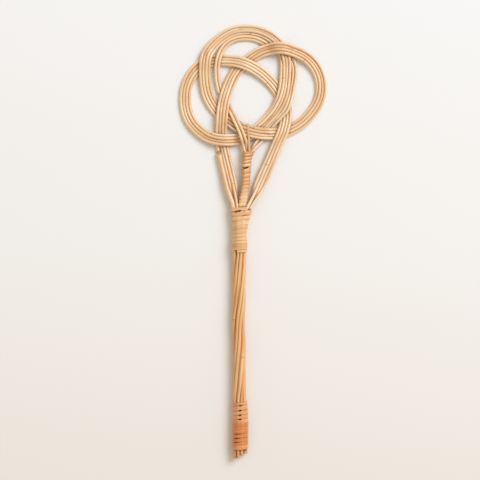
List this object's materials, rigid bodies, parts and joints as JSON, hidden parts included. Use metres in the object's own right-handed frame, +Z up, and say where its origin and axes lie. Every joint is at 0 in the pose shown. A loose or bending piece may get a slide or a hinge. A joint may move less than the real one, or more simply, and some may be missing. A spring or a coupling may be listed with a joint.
{
  "type": "rattan carpet beater",
  "caption": "Long-handled rattan beater with a flat open knot of bent canes for a head, twisted cane handle and split-cane bindings, for knocking dust out of rugs.",
  "frame": {"origin": "middle of the bounding box, at the height of the table that the beater lies on", "axes": "+Y along the handle, from its butt to the top of the head; +X to the right seen from above; +Z up from the table, out of the head's front"},
  "size_m": [0.2206, 0.6476, 0.0216],
  "materials": {
    "cane": "varnished rattan",
    "binding": "varnished split cane",
    "dark_binding": "darker varnished split cane"
  },
  "bodies": {
    "root": {"main_cane_1": "cane", "main_cane_2": "cane", "main_cane_3": "cane", "main_cane_4": "cane", "splice_cane": "cane", "inner_cane_1": "cane", "inner_cane_2": "cane", "neck_binding": "binding", "stem_collar": "binding", "stem_binding": "binding", "knot_tie": "binding", "end_binding": "dark_binding"}
  },
  "joints": []
}
